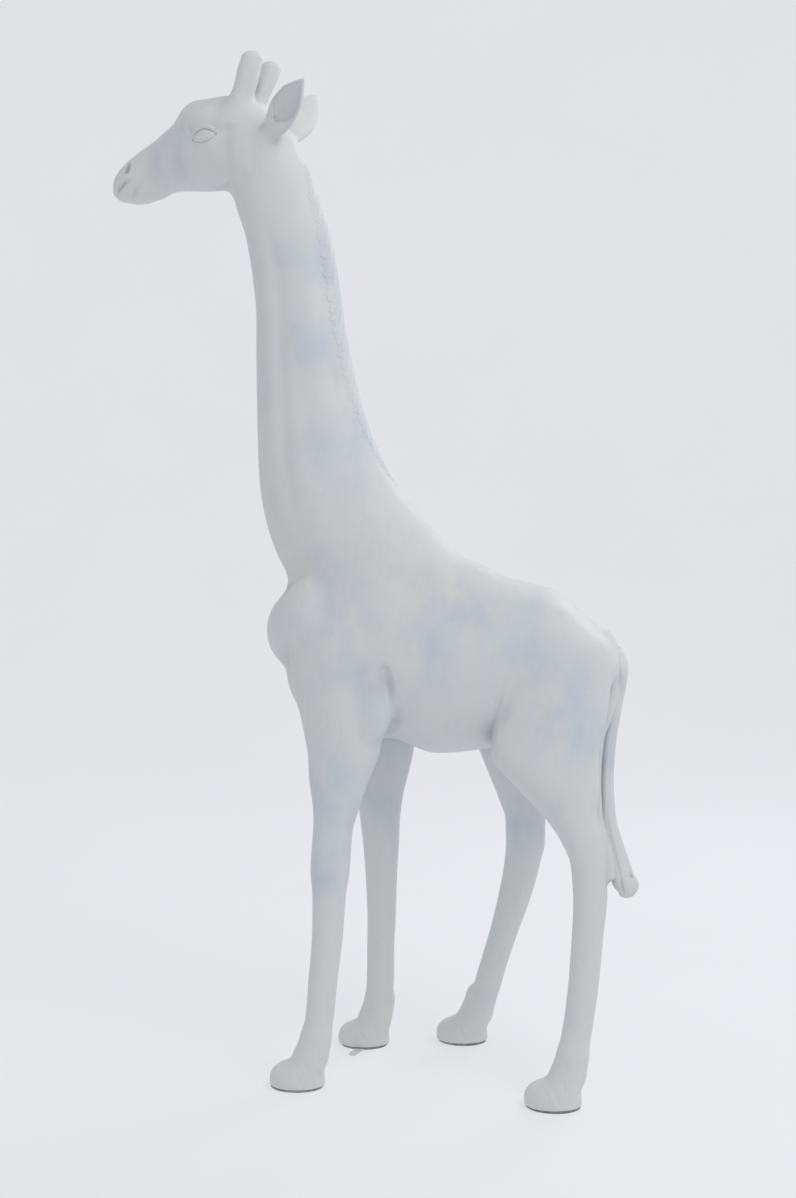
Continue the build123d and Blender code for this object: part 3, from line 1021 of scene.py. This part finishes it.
def make_legs():
    for name, stations in LEGS.items():
        rows = np.array(stations)
        x, y = FEET[name]
        low = (min(rows[:, 0].min(), x) - 130, min(rows[:, 1].min(), y) - 70, -6)
        high = (rows[:, 0].max() + 130, max(rows[:, 1].max(), y) + 70, LEG_SEAM + 14)
        points, faces, at = region(low, high, VOXELS["leg"], [FLOOR_SEAM, LEG_TOP])
        side = np.sign(y)
        wanted = FLOOR_SEAM.over(at) & ~LEG_TOP.over(at) & (at[:, 1] * side > BELLY_HALF)
        part = take(points, faces, wanted)
        finish_skin(hollow_piece(name + "_skin", ANIMAL, *part, SKIN), name)


def make_halves(name, low, high, voxel, seams, middle, wanted, wall):
    """Left and right halves of one stretch of the skin."""
    points, faces, at = region(low, high, voxel, seams + [middle])
    keep = wanted(at)
    over = middle.over(at)
    for side in (LEFT, RIGHT):
        part = take(points, faces, keep & (over if side == RIGHT else ~over))
        node = f"{name}_shell_{SIDE_NAMES[side]}"
        piece = hollow_piece(f"{name}_skin_{SIDE_NAMES[side]}", ANIMAL, *part, wall)
        finish_skin(piece, node)
    return points, faces, at


def make_torso():
    def wanted(at):
        belly = np.abs(at[:, 1]) < BELLY_HALF
        return (LEG_TOP.over(at) | belly) & ~NECK_FOOT.over(at)

    low = (-262, -198, LEG_SEAM - 30)
    high = (640, 198, NECK_SEAM + 12)
    make_halves("torso", low, high, VOXELS["torso"], [LEG_TOP, NECK_FOOT], BODY_MIDDLE, wanted, SKIN)


def make_neck():
    def wanted(at):
        return NECK_FOOT.over(at) & ~HEAD_FOOT.over(at)

    low = (-345, -135, NECK_SEAM - 12)
    high = (190, 135, 2200)
    make_halves("neck", low, high, VOXELS["neck"], [NECK_FOOT, HEAD_FOOT], BODY_MIDDLE, wanted, SKIN)


def make_head():
    """Head halves, horns and ears out of one skin."""
    ear_seams = {}
    ear_lines = {}
    for side, (root, tip, _) in EARS.items():
        start = turned_point(*root)
        end = turned_point(*tip)
        ear_seams[side] = Seam(start + (end - start) * EAR_SEAM, end - start)
        ear_lines[side] = (start, end - start)

    def on_ear(at, side):
        start, run = ear_lines[side]
        t = np.clip((at - start) @ run / (run @ run), 0, 1)
        off = np.linalg.norm(at - start - t[:, None] * run, axis=1)
        return ear_seams[side].over(at) & (off < EAR_REACH) & (unturned(at)[:, 1] * side > 20)

    def on_horn(at, side):
        q = unturned(at)
        return HORN_FOOT.over(at) & (q[:, 0] > -345) & (q[:, 0] < -205) & (q[:, 1] * side > 0)

    def is_shell(at):
        rest = HEAD_FOOT.over(at)
        for side in (LEFT, RIGHT):
            rest &= ~on_ear(at, side) & ~on_horn(at, side)
        return rest

    low = (-680, -165, 2040)
    high = (-30, 205, 2430)
    seams = [HEAD_FOOT, HORN_FOOT, ear_seams[LEFT], ear_seams[RIGHT]]
    points, faces, at = make_halves(
        "head", low, high, VOXELS["head"], seams, HEAD_MIDDLE, is_shell, HEAD_SKIN
    )
    for side in (LEFT, RIGHT):
        word = SIDE_NAMES[side]
        ear = on_ear(at, side) & HEAD_FOOT.over(at)
        horn = on_horn(at, side) & ~on_ear(at, side)
        finish_skin(solid_piece(f"ear_skin_{word}", ANIMAL, *take(points, faces, ear)), f"ear_{word}")
        finish_skin(solid_piece(f"horn_skin_{word}", ANIMAL, *take(points, faces, horn)), f"horn_{word}")


def own_solid(name, shapes, low, high, voxel):
    """Whole closed piece from its own field."""
    points, quads = skin_mesh(shapes, low, high, voxel)
    away, _ = slopes(shapes, points)
    piece = add_object(name, points, quads.tolist(), away)
    add_shade_and_wear(piece, shapes, points, away, 1)
    return piece


TAIL_LOCKS = 9


def tail_shapes():
    """Tail with the locks of its tuft carved lengthwise."""
    shapes = [column(TAIL, soft=10, cap=10)]
    shapes.append(lump((622, -148, 486), (22, 21, 24), pitch=25, soft=10))
    look_up, _, _ = smooth_rows(TAIL, 2)
    heights = np.array([640.0, 590, 550, 515, 488, 468])
    middle = look_up(heights)
    for lock in range(TAIL_LOCKS):
        turn = 2 * pi * lock / TAIL_LOCKS + 0.3
        sway = 0.45 * sin(2.1 * lock)
        path = []
        for share, z, (x, y, a, b) in zip(np.linspace(0, 1, 6), heights, middle):
            angle = turn + sway * share
            path.append((x + a * cos(angle), y + b * sin(angle), z))
        shapes.append(relief(path[lock % 2 :], -2.6, 3.6))
    heights = np.array([900.0, 800, 700, 640])
    groove = [(x + a * 0.2, y - b, z) for z, (x, y, a, b) in zip(heights, look_up(heights))]
    shapes.append(relief(groove, -1.6, 5))
    return shapes


class ManeBand:
    """Thin band over the nape, brushed lengthwise, with a ragged edge."""

    def __init__(self):
        self.trunk = trunk_shapes()
        self.reach, _, _ = smooth_rows(MANE, 0)
        self.front, _, _ = smooth_rows(MANE_FRONT, 0)

    def apply(self, points, field):
        skin = field_of(self.trunk, points)
        x, y, z = points.T
        side = np.abs(y)
        sway = 1.3 * np.sin(z / 41) + 0.8 * np.sin(z / 17 + 1.1) + z * 0.012
        lines = np.sin(2 * pi * (y / 5.2 + 0.3 * sway))
        tufts = 0.65 + 0.35 * np.sin(z / 6.3 + side * 0.35 + 1.7 * np.sin(z / 29))
        reach = self.reach(z)[:, 0] + 2.2 * np.sin(z / 5.3 + 2 * np.sin(z / 19)) + 1.4 * np.sin(z / 2.3)
        inward = reach - side
        rise = MANE_RISE * np.clip(inward / 12 + 0.25, 0, 1) - 0.5 * lines * tufts
        edges = [
            skin - rise,
            -skin - MANE_DEPTH,
            -inward,
            self.front(z)[:, 0] - x,
            MANE[0][0] - z,
            z - MANE[-1][0],
        ]
        field[:] = np.max(edges, axis=0)


def make_tail():
    piece = own_solid("tail_hair", tail_shapes(), (550, -185, 440), (665, 40, 1040), 2.2)
    finish_skin(piece, "tail")


def make_mane():
    piece = own_solid("mane_hair", [ManeBand()], (-180, -54, 1385), (90, 54, 2158), 2.0)
    finish_skin(piece, "mane_strip")


def find_skin(x, z, side):
    """Y of the skin, before the turn, where a line across the head at x and z meets it."""
    y = np.linspace(95, 20, 151)
    path = np.array([turned_point(x, side * value, z) for value in y])
    inside = np.nonzero(field_of(ANIMAL, path) < 0)[0]
    return y[inside[0]] if len(inside) else 60.0


def make_eyes():
    """Lidded eye: a leaf-shaped solid that stands a little proud of the socket."""
    rows, columns = EYE_GRID
    for side in (LEFT, RIGHT):
        front = []
        for i in range(columns):
            u = i / (columns - 1)
            x, top, bottom = eye_edge(u)
            bow = max(sin(pi * u), 0.0) ** 0.75
            skin = find_skin(x, (top + bottom) / 2, side)
            upper_skin = find_skin(x, top, side)
            lower_skin = find_skin(x, bottom, side)
            for j in range(rows):
                v = j / (rows - 1)
                z = bottom + (top - bottom) * v
                base = (1 - v) * lower_skin + v * upper_skin
                base = max(base, base + (skin - base) * 4 * v * (1 - v))
                dome = (4 * v * (1 - v)) ** 0.5 * bow
                lid_line = 0.36 + 0.3 * sin(pi * min(u * 1.15, 1.0))
                groove = np.exp(-(((v - lid_line) * (top - bottom) / 1.5) ** 2)) * bow
                y = base + EYE_PROUD + EYE_DOME * dome - LID_GROOVE * groove
                front.append(turned_point(x, side * y, z))
        back = [point - side * EYE_DEPTH * HEAD_ACROSS for point in front]
        total = rows * columns
        faces = []
        for i in range(columns - 1):
            for j in range(rows - 1):
                a = i * rows + j
                quad = (a, a + rows, a + rows + 1, a + 1)
                faces.append(quad if side == LEFT else quad[::-1])
                under = tuple(index + total for index in quad)
                faces.append(under[::-1] if side == LEFT else under)
        for a, b in boundary_edges([face for face in faces if max(face) < total]):
            faces.append((b, a, a + total, b + total))
        piece = add_object(f"eye_lid_{SIDE_NAMES[side]}", np.array(front + back), faces)
        bm = bmesh.new()
        bm.from_mesh(piece.data)
        bmesh.ops.remove_doubles(bm, verts=bm.verts, dist=0.00002)
        bmesh.ops.dissolve_degenerate(bm, edges=bm.edges, dist=0.00001)
        bmesh.ops.recalc_face_normals(bm, faces=bm.faces)
        bm.to_mesh(piece.data)
        bm.free()
        set_shade_and_wear(piece, *np.zeros((3, len(piece.data.vertices))))
        finish_skin(piece, f"eye_{SIDE_NAMES[side]}")


# ---------------------------------------------------------------- materials
class Look:
    """New material, with short ways to add to its node tree."""

    def __init__(self, name):
        self.material = bpy.data.materials.new(name)
        self.material.use_nodes = True
        self.tree = self.material.node_tree

    def put(self, node, inputs):
        """Set a node's inputs, each to a number, a vector, a colour or another node's output."""
        for name, value in inputs.items():
            socket = node.inputs[name]
            if isinstance(value, bpy.types.NodeSocket):
                self.tree.links.new(value, socket)
            elif socket.type == "RGBA":
                socket.default_value = (*value, 1.0)
            else:
                socket.default_value = value
        return node

    def add(self, kind, inputs):
        return self.put(self.tree.nodes.new("ShaderNode" + kind), inputs)

    def place(self):
        """The object's own coordinates, in metres."""
        return self.add("TexCoord", {}).outputs["Object"]

    def noise(self, scale, detail=6.0, rough=0.55, stretch=(1, 1, 1)):
        vector = self.add("Mapping", {"Vector": self.place(), "Scale": stretch}).outputs["Vector"]
        inputs = {"Vector": vector, "Scale": scale, "Detail": detail, "Roughness": rough}
        return self.add("TexNoise", inputs).outputs["Fac"]

    def remap(self, value, low, high, out_low=0.0, out_high=1.0):
        inputs = {"From Min": low, "From Max": high, "To Min": out_low, "To Max": out_high}
        return self.add("MapRange", {"Value": value, **inputs}).outputs["Result"]

    def mix(self, share, first, second):
        """Colour between first and second."""
        node = self.add("Mix", {})
        node.data_type = "RGBA"
        return self.put(node, {"Factor": share, "A": first, "B": second}).outputs["Result"]

    def product(self, first, second):
        node = self.add("Math", {0: first, 1: second})
        node.operation = "MULTIPLY"
        return node.outputs["Value"]

    def read_shade_and_wear(self, name):
        """One of the point attributes of a skin."""
        node = self.add("Attribute", {})
        node.attribute_type = "GEOMETRY"
        node.attribute_name = name
        return node.outputs["Fac"]

    def finish(self, inputs, bumps):
        """Set the shader. Bumps go from coarse to fine: height, strength and depth in metres."""
        normal = None
        for height, strength, depth in bumps:
            bump = self.add("Bump", {"Height": height, "Strength": strength, "Distance": depth})
            if normal is not None:
                self.put(bump, {"Normal": normal})
            normal = bump.outputs["Normal"]
        self.put(self.tree.nodes["Principled BSDF"], {**inputs, "Normal": normal})
        return self.material


WHITE = (0.640, 0.665, 0.665)
WARM = (0.690, 0.668, 0.640)
COOL = (0.520, 0.575, 0.655)
GREY = (0.500, 0.535, 0.550)
# painted shade colour for the creases
PAINTED_SHADE_GREY = (0.270, 0.300, 0.330)


def make_paint():
    """Matt off-white paint, brushed thin in places over a blue-grey undercoat, with painted shade darkening
    the creases.
    """
    look = Look("matt_white_paint_and_crease_shade")
    broad = look.noise(5.0, 3.0, 0.5)
    cloudy = look.noise(13.0, 4.0, 0.55, (1, 1, 0.6))
    brushed = look.noise(46.0, 5.0, 0.6, (1, 1, 0.28))
    speck = look.noise(420.0, 3.0, 0.6)
    grain = look.noise(900.0, 2.0, 0.5)
    base = look.mix(look.remap(broad, 0.52, 0.68, 0, 0.55), WHITE, WARM)
    thin = look.product(look.read_shade_and_wear("blue"), look.remap(cloudy, 0.36, 0.62))
    base = look.mix(look.product(thin, 0.85), base, COOL)
    base = look.mix(look.remap(cloudy, 0.55, 0.75, 0, 0.3), base, COOL)
    base = look.mix(look.remap(brushed, 0.56, 0.78, 0, 0.3), base, GREY)
    # painted shade: creases mixed towards a deep grey
    base = look.mix(look.product(look.read_shade_and_wear("crease"), 0.55), base, PAINTED_SHADE_GREY)
    edge = look.product(look.read_shade_and_wear("edge"), look.remap(speck, 0.5, 0.6, 0, 0.35))
    base = look.mix(edge, base, COOL)
    shine = look.remap(brushed, 0.3, 0.7, 0.50, 0.66)
    bumps = [(cloudy, 0.35, 0.0035), (brushed, 0.30, 0.0009), (speck, 0.22, 0.0002), (grain, 0.2, 0.0001)]
    return look.finish({"Base Color": base, "Roughness": shine, "Specular IOR Level": 0.42}, bumps)


def make_sole_and_contact_shade():
    """Grey cast sole, scuffed and dusty; its dark grey is also painted shade, standing in for the contact
    shadow under the foot.
    """
    look = Look("scuffed_sole_contact_shade")
    cloudy = look.noise(30.0, 5.0)
    fine = look.noise(600.0, 3.0)
    # painted shade: the sole is made dark to stand for the contact shadow along the foot's lower edge
    colour = look.mix(look.remap(cloudy, 0.4, 0.65), (0.16, 0.17, 0.18), (0.33, 0.34, 0.34))
    rough = look.remap(fine, 0.3, 0.7, 0.7, 0.9)
    bumps = [(cloudy, 0.4, 0.001), (fine, 0.4, 0.0003)]
    return look.finish({"Base Color": colour, "Roughness": rough}, bumps)


def make_strap_metal():
    """White-painted flat steel, worn to metal here and there."""
    look = Look("painted_strap")
    patch = look.noise(90.0, 5.0, 0.6)
    fine = look.noise(700.0, 3.0)
    worn = look.remap(patch, 0.60, 0.66)
    colour = look.mix(worn, (0.70, 0.70, 0.69), (0.34, 0.35, 0.37))
    metal = look.remap(patch, 0.60, 0.66, 0.0, 0.8)
    rough = look.remap(fine, 0.3, 0.7, 0.38, 0.56)
    inputs = {"Base Color": colour, "Metallic": metal, "Roughness": rough}
    return look.finish(inputs, [(worn, 0.3, 0.0002), (fine, 0.2, 0.0001)])


def make_zinc():
    """Zinc-plated steel with its faint crystals."""
    look = Look("zinc_steel")
    flakes = look.add("TexVoronoi", {"Scale": 160.0, "Vector": look.place()}).outputs["Distance"]
    fine = look.noise(500.0, 4.0)
    colour = look.mix(look.remap(flakes, 0.0, 0.7), (0.52, 0.54, 0.56), (0.68, 0.69, 0.70))
    rough = look.remap(fine, 0.3, 0.7, 0.32, 0.5)
    return look.finish({"Base Color": colour, "Metallic": 1.0, "Roughness": rough}, [(fine, 0.15, 0.0002)])


def make_plywood():
    """Plywood formers inside the shell."""
    look = Look("birch_plywood")
    grain = look.noise(60.0, 6.0, 0.6, (1, 6, 1))
    fine = look.noise(400.0, 4.0, 0.6, (1, 8, 1))
    colour = look.mix(look.remap(grain, 0.35, 0.65), (0.62, 0.46, 0.29), (0.45, 0.31, 0.18))
    rough = look.remap(fine, 0.3, 0.7, 0.6, 0.8)
    bumps = [(grain, 0.3, 0.0006), (fine, 0.3, 0.0002)]
    return look.finish({"Base Color": colour, "Roughness": rough}, bumps)


PAINT = make_paint()


def finish_skin(piece, node):
    """Paint a piece and let it stand for its CAD node."""
    piece.data.materials.append(PAINT)
    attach(piece, "root")
    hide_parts(node)


def dress_frame():
    """Materials of the CAD nodes that stay."""
    sole = make_sole_and_contact_shade()
    strap = make_strap_metal()
    zinc = make_zinc()
    wood = make_plywood()
    for name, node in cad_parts.items():
        if "sole" in name:
            material = sole
        elif name == "anchor_strap":
            material = strap
        elif "former" in name:
            material = wood
        elif name.endswith(("tube", "wire", "screws")) or "_rod_" in name:
            material = zinc
        else:
            continue
        node.data.materials.clear()
        node.data.materials.append(material)


# ---------------------------------------------------------------- studio
PAPER_GLOW = 0.56
FLOOR_FRONT = -9.0
FLOOR_BACK = 4.0
SWEEP_RADIUS = 3.0
SWEEP_TOP = 14.0
STAGE_HALF = 14.0


def make_stage():
    """Pale paper that lies on the floor and sweeps up behind."""
    look = Look("studio_paper")
    cloudy = look.noise(1.2, 3.0)
    fine = look.noise(300.0, 3.0)
    inputs = {
        "Base Color": look.mix(look.remap(cloudy, 0.3, 0.7), (0.295, 0.297, 0.312), (0.305, 0.307, 0.322)),
        "Roughness": 0.95,
        "Specular IOR Level": 0.05,
        "Emission Color": (0.965, 0.972, 1.0),
        "Emission Strength": PAPER_GLOW,
    }
    material = look.finish(inputs, [(fine, 0.05, 0.0003)])
    turns = [pi / 2 * k / 24 for k in range(25)]
    profile = [(FLOOR_FRONT, 0.0)]
    profile += [(FLOOR_BACK + SWEEP_RADIUS * sin(t), SWEEP_RADIUS * (1 - cos(t))) for t in turns]
    profile.append((FLOOR_BACK + SWEEP_RADIUS, SWEEP_TOP))
    points = [(x, y, z) for y, z in profile for x in (-STAGE_HALF, STAGE_HALF)]
    faces = [(2 * k, 2 * k + 1, 2 * k + 3, 2 * k + 2) for k in range(len(profile) - 1)]
    mesh = bpy.data.meshes.new("studio_floor")
    mesh.from_pydata(points, [], faces)
    mesh.polygons.foreach_set("use_smooth", [True] * len(faces))
    floor = bpy.data.objects.new("studio_floor", mesh)
    bpy.context.scene.collection.objects.link(floor)
    mesh.materials.append(material)


def make_light(name, place, aim, size, power, colour):
    data = bpy.data.lights.new(name, "AREA")
    data.shape = "DISK"
    data.size = size
    data.energy = power
    data.color = colour
    light = bpy.data.objects.new(name, data)
    light.location = place
    light.rotation_euler = (Vector(aim) - Vector(place)).to_track_quat("-Z", "Y").to_euler()
    bpy.context.scene.collection.objects.link(light)


def make_lights():
    world = bpy.data.worlds.new("studio")
    world.use_nodes = True
    back = world.node_tree.nodes["Background"]
    back.inputs["Color"].default_value = (0.955, 0.965, 1.0, 1.0)
    back.inputs["Strength"].default_value = 0.66
    bpy.context.scene.world = world
    middle = (0.1, 0.0, 1.2)
    make_light("key", (2.6, -2.2, 4.6), middle, 2.6, 62, (1.0, 0.985, 0.96))
    make_light("rim", (2.4, 2.8, 3.6), middle, 2.2, 40, (0.97, 0.98, 1.0))
    bpy.context.scene.view_settings.view_transform = "Standard"


make_stage()
make_lights()
dress_frame()
make_torso()
make_legs()
make_neck()
make_head()
make_tail()
make_mane()
make_eyes()
